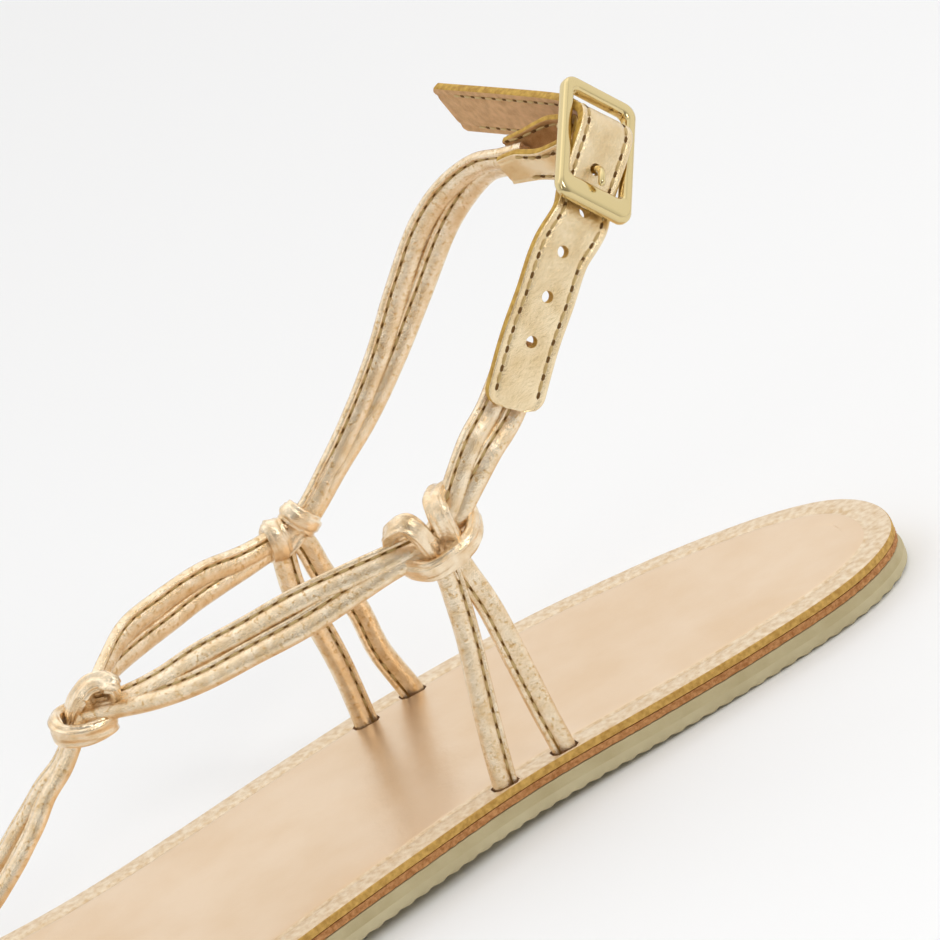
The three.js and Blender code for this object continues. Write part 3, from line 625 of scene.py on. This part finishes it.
def build_board():
    shape = Shape("midsole_fibre", [BOARD])
    fuzz = np.random.default_rng(4)

    def wobble(points):
        return fuzz.uniform(-0.16, 0.1, points)

    heights = np.linspace(BOARD_BOTTOM, BOARD_TOP, 5)
    rings = sole_rings(420, [(h, STEP_DEPTH + 0.1) for h in heights], wobble)
    shape.grid(rings, wrap_columns=True)
    shape.grid(sole_face(rings[0], 5))
    shape.grid(sole_face(rings[-1], 5))
    finish_piece(shape.build(smooth=60), "leather_board", "midsole_board")


def waves(x, y):
    """Faint hollows and ripples of worn-in leather."""
    slow = np.sin(x / 17.0 + 0.6 * np.sin(y / 11.0)) * np.sin(y / 13.0 + 1.1)
    fine = np.sin(x / 2.1 + 1.7 * np.sin(y / 6.3)) * np.exp(-((x - 70) / 45) ** 2)
    return 0.07 * slow + 0.025 * fine


# The pressed line inside the insole's rim: distance from the edge, and its depth there
RIM_GROOVE = [
    (1.5, 0), (2.6, 0), (3.6, 0.01), (4.2, 0.04), (4.5, 0.14), (4.8, 0.2),
    (5.1, 0.14), (5.4, 0.03), (6.0, 0), (7.2, 0), (8.4, 0),
]


def build_insole():
    shape = Shape("insole_leather", [SOCK, SOLE_EDGE, SOCK_RIM])
    inset = STEP_DEPTH
    steps = [
        (INSOLE_BOTTOM, inset),
        (6.5, inset),
        (6.75, inset + 0.05),
        (6.92, inset + 0.2),
        (INSOLE_TOP, inset + 0.5),
    ]
    steps += [(INSOLE_TOP - drop, depth) for depth, drop in RIM_GROOVE]
    rings = sole_rings(300, steps)
    edge_bands = 3
    rim_bands = 9
    slots = [1] * edge_bands + [2] * rim_bands + [0] * (len(steps) - 1 - edge_bands - rim_bands)
    shape.grid(rings, wrap_columns=True, slot=np.array(slots)[:, None])

    def relief(x, y, t):
        edge = np.clip(np.minimum(t, 1 - t) * 6, 0, 1)
        return edge * waves(x, y)

    shape.grid(sole_face(rings[-1], 41, relief), slot=0)
    shape.grid(sole_face(rings[0], 5), slot=1)
    obj = shape.build()
    cutters = Shape("slots", [EDGE])
    w = CORD_WIDTH / 2 + CLEARANCE
    h = CORD_THICKNESS / 2 + CLEARANCE
    c = SLOT_CHAMFER
    ring = np.array([
        (w, h - c), (w - c, h), (c - w, h), (-w, h - c),
        (-w, c - h), (c - w, -h), (w - c, -h), (w, c - h),
    ])
    for route in SLOTTED:
        path = Path(seated(route, SLOT_CUT)[-4:], step=0.8)
        cutters.tube(path.skin(ring))
    finish_piece(cut(obj, cutters), "insole_leather", "insole")


# Cords: one face of the section, across and out, with the flange on the plus side
CORD_TOP = [
    (-1.98, 0.55), (-1.72, 0.93), (-1.25, 1.2), (-0.62, 1.3), (0.0, 1.2), (0.48, 0.97),
    (0.84, 0.66), (1.05, 0.44), (1.26, 0.64), (1.55, 0.8), (1.86, 0.78), (2.06, 0.5),
]
CORD_RING = np.array([(-2.1, 0.0)] + CORD_TOP + [(2.12, 0.0)] + [(x, -y) for x, y in reversed(CORD_TOP)])

# Columns of the section in the crease between the roll and its flange, on both faces; these take a darker
# material as painted shade
VALLEY_SHADE_COLUMNS = (7, 8, 17, 18)
CORD_SLOTS = np.array([2 if column in VALLEY_SHADE_COLUMNS else 0 for column in range(len(CORD_RING))])[None, :]


def cord_profile(path, side, seed):
    """The rolled cord's section, a little uneven along its length."""
    s = path.s[:, None]
    swell = 1 + 0.035 * np.sin(s / 3.1 + seed) + 0.025 * np.sin(s / 1.3 + 2.3 * seed)
    x = CORD_RING[None, :, 0] * side * (1 + 0.02 * np.sin(s / 4.7 + seed))
    y = CORD_RING[None, :, 1] * swell
    return np.stack((x, y), -1)


def bead(shape, at, along, across, out, radii, segments=8, rings=5, slot=0):
    """A small ellipsoid."""
    theta = np.linspace(0, np.pi, rings)[:, None]
    phi = np.linspace(0, 2 * np.pi, segments, endpoint=False)[None, :]
    rows = (
        at
        + along * (radii[0] * np.cos(theta) * np.ones_like(phi))[..., None]
        + across * (radii[1] * np.sin(theta) * np.cos(phi))[..., None]
        + out * (radii[2] * np.sin(theta) * np.sin(phi))[..., None]
    )
    shape.grid(rows, wrap_columns=True, slot=slot)


def stitch_line(
    shape, path, offset, height, start, end,
    pitch=STITCH_PITCH, faces=(1, -1), thread=0.3, dimple=(0.42, 0.3),
):
    """Threads with a pinhole between, along a line at an offset across the path; each pinhole is a dark
    bead, painted shade in the hole.
    """
    count = int((end - start) / pitch)
    for k in range(count):
        s = start + k * pitch
        hole = [row[0] for row in path.frames(s)]
        middle = [row[0] for row in path.frames(s + pitch / 2)]
        for face in faces:
            at, across, out, tangent = middle
            spot = at + across * offset + out * face * height
            bead(shape, spot, tangent, across, out, (pitch * STITCH_REACH, thread, thread * 0.9), slot=0)
            at, across, out, tangent = hole
            spot = at + across * offset + out * face * (height + 0.02)
            # A dark bead in the pinhole: painted shade
            bead(shape, spot, tangent, across, out, dimple + (PINHOLE_DEPTH,), 6, 4, slot=1)


def build_upper():
    shape = Shape("upper_cords", [GOLD, GOLD_KNOT, VALLEY_SHADE])
    stitches = Shape("cord_stitches", [THREAD, PINHOLE_SHADE])
    cords = []
    for rows, seam in ((LATERAL_INSTEP, -1), (MEDIAL_INSTEP, 1), (LATERAL_ANKLE, 1), (MEDIAL_ANKLE, 1)):
        route = to_route(rows)
        cords += [(strand(route, side), seam, 3) for side in (-1, 1)]
    for route, seam in zip(SLOTTED, (-1, 1, -1, 1, -1, -1)):
        cords.append((seated(route, CORD_SINK), seam, 2.5))
    for seed, (route, side, last) in enumerate(cords):
        path = Path(route, step=0.55)
        shape.tube(path.skin(cord_profile(path, side, seed * 1.7)), slot=CORD_SLOTS)
        stitch_line(stitches, path, side * SEAM_OFFSET, SEAM_HEIGHT, SEAM_START, path.length - last)
    for number, (centre, wraps) in enumerate(KNOTS):
        middle = place(*centre)
        for turn, wrap in enumerate(wraps):
            points = middle + np.array(wrap) * CORD_WIDTH
            spokes = points - points.mean(0)
            axis = sum(np.cross(spokes[i], spokes[(i + 1) % len(spokes)]) for i in range(len(spokes)))
            path = Path([(p, unit(axis), 0) for p in points], step=0.4, closed=True)
            shape.tube(path.skin(wrap_profile(path, number * 3 + turn)), closed=True, slot=1)
    finish_piece(stitches.build(smooth=60), "cord_leather")
    finish_piece(shape.build(smooth=60), "cord_leather", "upper")


def wrap_profile(path, seed):
    """A cord pulled narrow in a knot, with creases along it."""
    angle = np.linspace(0, 2 * np.pi, 40, endpoint=False)[None, :]
    s = path.s[:, None] / path.length * 2 * np.pi
    crease = 0.11 * np.sin(5 * angle + 1.3 * np.sin(s + seed) + seed)
    crease = crease + 0.07 * np.sin(9 * angle + 2 * np.sin(2 * s + seed))
    crease = crease + 0.04 * np.sin(14 * angle + 3 * s)
    x = KNOT_WIDTH / 2 * np.sign(np.cos(angle)) * np.abs(np.cos(angle)) ** 0.8 * (1 + 0.5 * crease)
    y = KNOT_THICKNESS / 2 * np.sign(np.sin(angle)) * np.abs(np.sin(angle)) ** 0.8 * (1 + crease)
    return np.stack(np.broadcast_arrays(x, y), -1)


# Buckle and the straps on it
PRONG_LOOP = BAR_RADIUS + CLEARANCE + PRONG_RADIUS
CHAPE_WRAP = BAR_RADIUS + CLEARANCE + CHAPE_THICKNESS / 2
BILLET_WRAP = PRONG_LOOP + PRONG_RADIUS + CLEARANCE + BILLET_THICKNESS / 2
LOW_EDGE = LOW_BAR - FRAME_LENGTH / 2
UNDER_BAR = -(FRAME_DEPTH / 2 + CLEARANCE + BILLET_THICKNESS / 2)
HOLE_RUN = LOW_EDGE + PRONG_INSET
TIP_TURN = math.radians(-58)
REACH = math.hypot(BAR_ALONG - LOW_EDGE, -BAR_DEPTH - UNDER_BAR)
CLIMB = math.atan2(-BAR_DEPTH - UNDER_BAR, BAR_ALONG - LOW_EDGE) + math.asin(BILLET_WRAP / REACH)
HOLE_OUT = UNDER_BAR + (HOLE_RUN - LOW_EDGE) * math.tan(CLIMB)


def round_bar(radius, angle):
    return BAR_ALONG + radius * math.cos(angle), -BAR_DEPTH + radius * math.sin(angle)


def billet_route():
    first = CLIMB + math.pi / 2
    last = TIP_TURN + math.pi / 2
    arc = [round_bar(BILLET_WRAP, first + (last - first) * t) for t in (0, 0.33, 0.67, 1)]
    flat = [
        (-FRAME_LENGTH / 2, UNDER_BAR - LOW_BAR * math.tan(CLIMB) / 2),
        (LOW_EDGE, UNDER_BAR),
        (HOLE_RUN, HOLE_OUT),
    ] + arc
    route = to_route(BILLET_RISE)
    route += [(at_buckle(run, 0, out), ACROSS, 0) for run, out in flat]
    tip_across = np.array((0.285, 0.068, 0.956))
    for part, drift, turn in ((0.15, 0.1, 0.8), (0.5, 0.45, 1), (1, 1, 1)):
        run = arc[3][0] + part * TIP_LENGTH * math.cos(TIP_TURN)
        out = arc[3][1] + part * TIP_LENGTH * math.sin(TIP_TURN)
        across = unit(ACROSS * (1 - turn) + tip_across * turn)
        route.append((at_buckle(run, drift * TIP_DRIFT, out), across, 0))
    return route


def ribbon_profile(width, thickness, groove):
    """Flat strap section: faces pressed in along the stitch lines, corners rounded."""
    half = width / 2
    top = thickness / 2
    x = np.concatenate(([-half + 0.08], np.linspace(-half + 0.3, half - 0.3, 37), [half - 0.08]))
    y = top - 0.16 * np.exp(-((np.abs(x) - (half - groove)) / 0.45) ** 2)
    y[0] = y[-1] = top - 0.1
    upper = np.stack((x, y), 1)
    side = np.array([(half, top - 0.3), (half + 0.03, 0), (half, 0.3 - top)])
    ring = np.concatenate((upper, side, upper[::-1] * (1, -1), side[::-1] * (-1, 1)))
    n = len(x)
    slots = np.array([0] * (n - 1) + [1] * 4 + [2] * (n - 1) + [1] * 4)
    return ring, slots


def ribbon(shape, path, width, thickness, groove, round_start=0.0, round_end=0.0, wide=None):
    ring, slots = ribbon_profile(width, thickness, groove)
    profile = np.broadcast_to(ring, (len(path.s),) + ring.shape).copy()
    half = width / 2
    if wide is not None:
        profile[..., 0] *= wide[:, None]
    for distance, radius in ((path.s, round_start), (path.length - path.s, round_end)):
        if radius:
            d = np.clip(distance, 0, radius)
            narrow = half - radius + np.sqrt(np.maximum(radius**2 - (radius - d) ** 2, 0))
            profile[..., 0] *= (np.clip(narrow, 0.3, half) / half)[:, None]
    shape.tube(path.skin(profile), slot=slots[None, :], end_slot=1)


def build_billet():
    shape = Shape("billet_leather", [STRAP_BACK, EDGE, STRAP])
    stitches = Shape("billet_stitches", [THREAD, PINHOLE_SHADE])
    path = Path(billet_route(), step=0.5)
    ribbon(shape, path, BILLET_WIDTH, BILLET_THICKNESS, BILLET_GROOVE, round_start=2.8, round_end=0.5)
    obj = shape.build(smooth=50)
    hole = at_buckle(HOLE_RUN, 0, HOLE_OUT)
    s0 = path.s[np.argmin(np.linalg.norm(path.at - hole, axis=1))]
    cutters = Shape("holes", [EDGE])
    angle = np.linspace(0, 2 * np.pi, 24, endpoint=False)
    for k in range(HOLE_COUNT):
        at, across, out, tangent = (row[0] for row in path.frames(s0 - (k + 1) * HOLE_PITCH))
        disc = across * (HOLE_RADIUS * np.cos(angle))[:, None]
        disc = disc + tangent * (HOLE_RADIUS * np.sin(angle))[:, None]
        cutters.tube(np.array([at + disc - HOLE_CUT * out, at + disc + HOLE_CUT * out]))
    prong = Path(prong_route(), step=0.5)
    ring = np.stack((np.cos(angle), np.sin(angle)), 1) * (PRONG_RADIUS + CLEARANCE)
    cutters.tube(prong.skin(ring))
    cut(obj, cutters, smooth=50)
    edge = BILLET_WIDTH / 2 - BILLET_GROOVE
    for side in (1, -1):
        stitch_line(
            stitches, path, side * edge, BILLET_THICKNESS / 2 - 0.15, 3.0, path.length - 2.0,
            pitch=3.0, dimple=(0.68, 0.36),
        )
    finish_piece(stitches.build(smooth=60), "strap_leather")
    finish_piece(obj, "strap_leather", "billet_strap")


def prong_route():
    rest = FRAME_DEPTH / 2 + CLEARANCE + PRONG_RADIUS
    under = BILLET_THICKNESS / 2 + CLEARANCE + PRONG_RADIUS
    points = [
        (BAR_ALONG - PRONG_LOOP, -BAR_DEPTH),
        (HOLE_RUN + PRONG_DIP, HOLE_OUT + PRONG_DIP * math.tan(CLIMB) - 1.1 * under),
        (HOLE_RUN + under / 2, HOLE_OUT - 0.8 * under),
        (HOLE_RUN, HOLE_OUT),
        (HOLE_RUN - 0.6 * under, HOLE_OUT + under),
        (LOW_EDGE + 0.6 * rest, rest),
        (LOW_EDGE - PRONG_REACH, rest),
    ]
    return [(at_buckle(run, 0, out), ACROSS, 0) for run, out in points]


def build_prong():
    shape = Shape("prong_metal", [METAL])
    path = Path(prong_route(), step=0.35)
    angle = np.linspace(0, 2 * np.pi, 20, endpoint=False)
    circle = np.stack((np.cos(angle), np.sin(angle)), 1) * PRONG_RADIUS
    left = path.length - path.s
    tip = np.sqrt(np.clip(1 - (1 - np.clip(left / 0.7, 0, 1)) ** 2, 0.02, 1))
    taper = tip * (0.85 + 0.15 * np.clip(left / 8, 0, 1))
    shape.tube(path.skin(circle[None] * taper[:, None, None]))
    turn = np.linspace(0, 2 * np.pi, 48, endpoint=False)
    centre = at_buckle(BAR_ALONG, 0, -BAR_DEPTH)
    radial = RUN * np.cos(turn)[:, None] + OUT * np.sin(turn)[:, None]
    rings = (
        centre
        + radial[:, None] * (PRONG_LOOP + PRONG_RADIUS * np.cos(angle))[None, :, None]
        + ACROSS * (PRONG_RADIUS * np.sin(angle))[None, :, None]
    )
    shape.tube(rings, closed=True)
    finish_piece(shape.build(smooth=60), "buckle_metal", "buckle_prong")


def rounded_loop(left, right, half, corner, per_corner=16, per_side=12):
    """Points round a rectangle with round corners, in the buckle's run and across."""
    centres = [
        (right - corner, corner - half),
        (right - corner, half - corner),
        (left + corner, half - corner),
        (left + corner, corner - half),
    ]
    arcs = []
    for k, (cx, cy) in enumerate(centres):
        angle = np.linspace((k - 1) * np.pi / 2, k * np.pi / 2, per_corner)
        arcs.append(np.stack((cx + corner * np.cos(angle), cy + corner * np.sin(angle)), 1))
    points = []
    for k in range(4):
        points.append(arcs[k])
        t = np.linspace(0, 1, per_side + 2)[1:-1, None]
        points.append(arcs[k][-1] * (1 - t) + arcs[(k + 1) % 4][0] * t)
    return np.concatenate(points)


def build_frame():
    shape = Shape("buckle_frame_metal", [METAL])
    end = FRAME_LENGTH / 2
    outer = rounded_loop(-end, end, FRAME_WIDTH / 2, FRAME_CORNER)
    inner = rounded_loop(LOW_EDGE, end - TOP_BAR, FRAME_WIDTH / 2 - SIDE_BAR, FRAME_CORNER / 2)
    turn = np.linspace(0, 2 * np.pi, 28, endpoint=False)
    power = 0.62
    u = 0.5 - 0.5 * np.sign(np.cos(turn)) * np.abs(np.cos(turn)) ** power
    w = FRAME_DEPTH / 2 * np.sign(np.sin(turn)) * np.abs(np.sin(turn)) ** power
    rows = []
    for k in range(len(turn)):
        flat = outer * (1 - u[k]) + inner * u[k]
        rows.append(SEAT + RUN * flat[:, :1] + ACROSS * flat[:, 1:] + OUT * w[k])
    shape.grid(np.array(rows), wrap_rows=True, wrap_columns=True)
    angle = np.linspace(0, 2 * np.pi, 24, endpoint=False)
    ring = RUN * (BAR_RADIUS * np.cos(angle))[:, None] + OUT * (BAR_RADIUS * np.sin(angle))[:, None]
    half = FRAME_WIDTH / 2 - SIDE_BAR / 2
    shape.tube(np.array([at_buckle(BAR_ALONG, y, -BAR_DEPTH) + ring for y in (-half, half)]))
    finish_piece(shape.build(smooth=50), "buckle_metal", "buckle_frame")


def build_chape():
    ankle = to_route(MEDIAL_ANKLE)
    end_at, end_across, _ = ankle[-1]
    before_at, before_across, _ = ankle[-2]
    bar = at_buckle(BAR_ALONG, 0, -BAR_DEPTH)
    grip = CHAPE_GRIP / CHAPE_WIDTH
    middle = [
        (bar, ACROSS, 1.0),
        ((bar + end_at) / 2, unit(ACROSS + end_across), (2 + grip) / 3),
        (end_at, end_across, (1 + 2 * grip) / 3),
        (before_at, before_across, grip),
    ]
    offset = CORD_THICKNESS / 2 + CLEARANCE + CHAPE_THICKNESS / 2

    def leaf(side):
        rows = []
        for i in range(1, len(middle)):
            at, across, wide = middle[i]
            tangent = unit(at - middle[i - 1][0])
            away = side * (offset + (CHAPE_SLACK if i == 1 else 0))
            rows.append((at + unit(np.cross(across, tangent)) * away, across, wide))
        return rows

    pull = middle[1][0] - bar
    heading = math.atan2(np.dot(pull, OUT), np.dot(pull, RUN))
    wrap = []
    for degrees in (90, 135, 180, 225, 270):
        run, out = round_bar(CHAPE_WRAP, heading + math.radians(degrees))
        wrap.append((at_buckle(run, 0, out), ACROSS, 1.0))
    near, far = sorted((leaf(1), leaf(-1)), key=lambda rows: np.linalg.norm(rows[0][0] - wrap[0][0]))
    route = near[::-1] + wrap + far
    shape = Shape("chape_leather", [STRAP, EDGE, STRAP_BACK])
    path = Path(route, step=0.4)
    wide = path.shares([row[2] for row in route])
    ribbon(shape, path, CHAPE_WIDTH, CHAPE_THICKNESS, CHAPE_GROOVE, wide=wide)
    obj = shape.build(smooth=50)
    reach = PRONG_LOOP + PRONG_RADIUS + CLEARANCE
    gap = PRONG_RADIUS + CLEARANCE
    corners = [(1, 1), (1, -1), (-1, -1), (-1, 1)]
    cutters = Shape("slot", [EDGE])
    cutters.tube(np.array([
        [at_buckle(BAR_ALONG + a * reach, side * gap, b * reach - BAR_DEPTH) for a, b in corners]
        for side in (-1, 1)
    ]))
    cut(obj, cutters, smooth=50)
    stitches = Shape("chape_stitches", [THREAD, PINHOLE_SHADE])
    middle_wide = (1 + grip) / 2
    edge = (CHAPE_WIDTH / 2) * middle_wide - CHAPE_SEAM
    half = path.length / 2
    for side in (1, -1):
        for first, last in ((1.0, half - CHAPE_BARE), (half + CHAPE_BARE, path.length - 1.0)):
            stitch_line(
                stitches, path, side * edge, CHAPE_THICKNESS / 2 - 0.05, first, last,
                pitch=2.6, dimple=(0.55, 0.32),
            )
    finish_piece(stitches.build(smooth=60), "strap_leather")
    finish_piece(obj, "strap_leather", "chape")


build_outsole()
build_board()
build_insole()
build_upper()
build_billet()
build_chape()
build_frame()
build_prong()

# Floor
floor = Shape("floor", [material("pale_floor", "f7f7f7", 0.9, 0.0)])
floor.cap([(-3000, -3000, 0), (3000, -3000, 0), (3000, 3000, 0), (-3000, 3000, 0)])
floor.build()


# Light
def softbox(name, at, target, size, power):
    """A rectangular lamp at a place, turned to its target."""
    data = bpy.data.lights.new(name, "AREA")
    data.shape = "RECTANGLE"
    data.size, data.size_y = size
    data.energy = power
    lamp = bpy.data.objects.new(name, data)
    bpy.context.scene.collection.objects.link(lamp)
    back = unit(np.array(at, float) - np.array(target, float))
    upright = (0, 0, 1) if abs(back[2]) < 0.999 else (0, 1, 0)
    right = unit(np.cross(upright, back))
    up = np.cross(back, right)
    lamp.matrix_world = Matrix([(right[i], up[i], back[i], at[i]) for i in range(3)] + [(0, 0, 0, 1)])


softbox("top", (0.05, -0.15, 1.7), (0.05, -0.15, 0), (3.4, 3.4), 15)
softbox("key", (-0.5, 0.8, 0.8), (0.05, 0, 0.03), (0.35, 0.5), 3.2)
softbox("side", (0.95, 0.5, 0.6), (0.05, 0, 0.03), (0.3, 0.6), 1.0)


def gradient_world():
    """Pale behind the sandal and above it, and darker on the viewer's side."""
    made = bpy.data.worlds.new("studio")
    made.use_nodes = True
    nodes = made.node_tree.nodes
    links = made.node_tree.links
    where = nodes.new("ShaderNodeTexCoord")
    facing = nodes.new("ShaderNodeVectorMath")
    facing.operation = "DOT_PRODUCT"
    facing.inputs[1].default_value = (0.25, 0.85, 0.45)
    ramp = nodes.new("ShaderNodeValToRGB")
    ramp.color_ramp.elements[0].position = 0.0
    ramp.color_ramp.elements[0].color = (1, 1, 1, 1)
    ramp.color_ramp.elements[1].position = 0.6
    ramp.color_ramp.elements[1].color = (0.34, 0.335, 0.33, 1)
    background = nodes["Background"]
    background.inputs["Strength"].default_value = 1.0
    links.new(where.outputs["Generated"], facing.inputs[0])
    links.new(facing.outputs["Value"], ramp.inputs["Fac"])
    links.new(ramp.outputs["Color"], background.inputs["Color"])
    return made


bpy.context.scene.world = gradient_world()
bpy.context.scene.view_settings.view_transform = "Standard"

# Camera at the photo's angle
RIGHT = (-0.84271955, 0.38673765, -0.37451002)
UP = (-0.47739848, -0.21530914, 0.85189945)
BACK = (0.24882616, 0.89670283, 0.36607318)
POSITION = (0.25237, 0.79857, 0.37459)
camera_data = bpy.data.cameras.new("camera")
camera_data.lens = 210.2
camera_data.sensor_width = 36
camera_data.clip_end = 20
camera = bpy.data.objects.new("camera", camera_data)
camera.matrix_world = Matrix([(RIGHT[i], UP[i], BACK[i], POSITION[i]) for i in range(3)] + [(0, 0, 0, 1)])
bpy.context.scene.collection.objects.link(camera)
bpy.context.scene.camera = camera
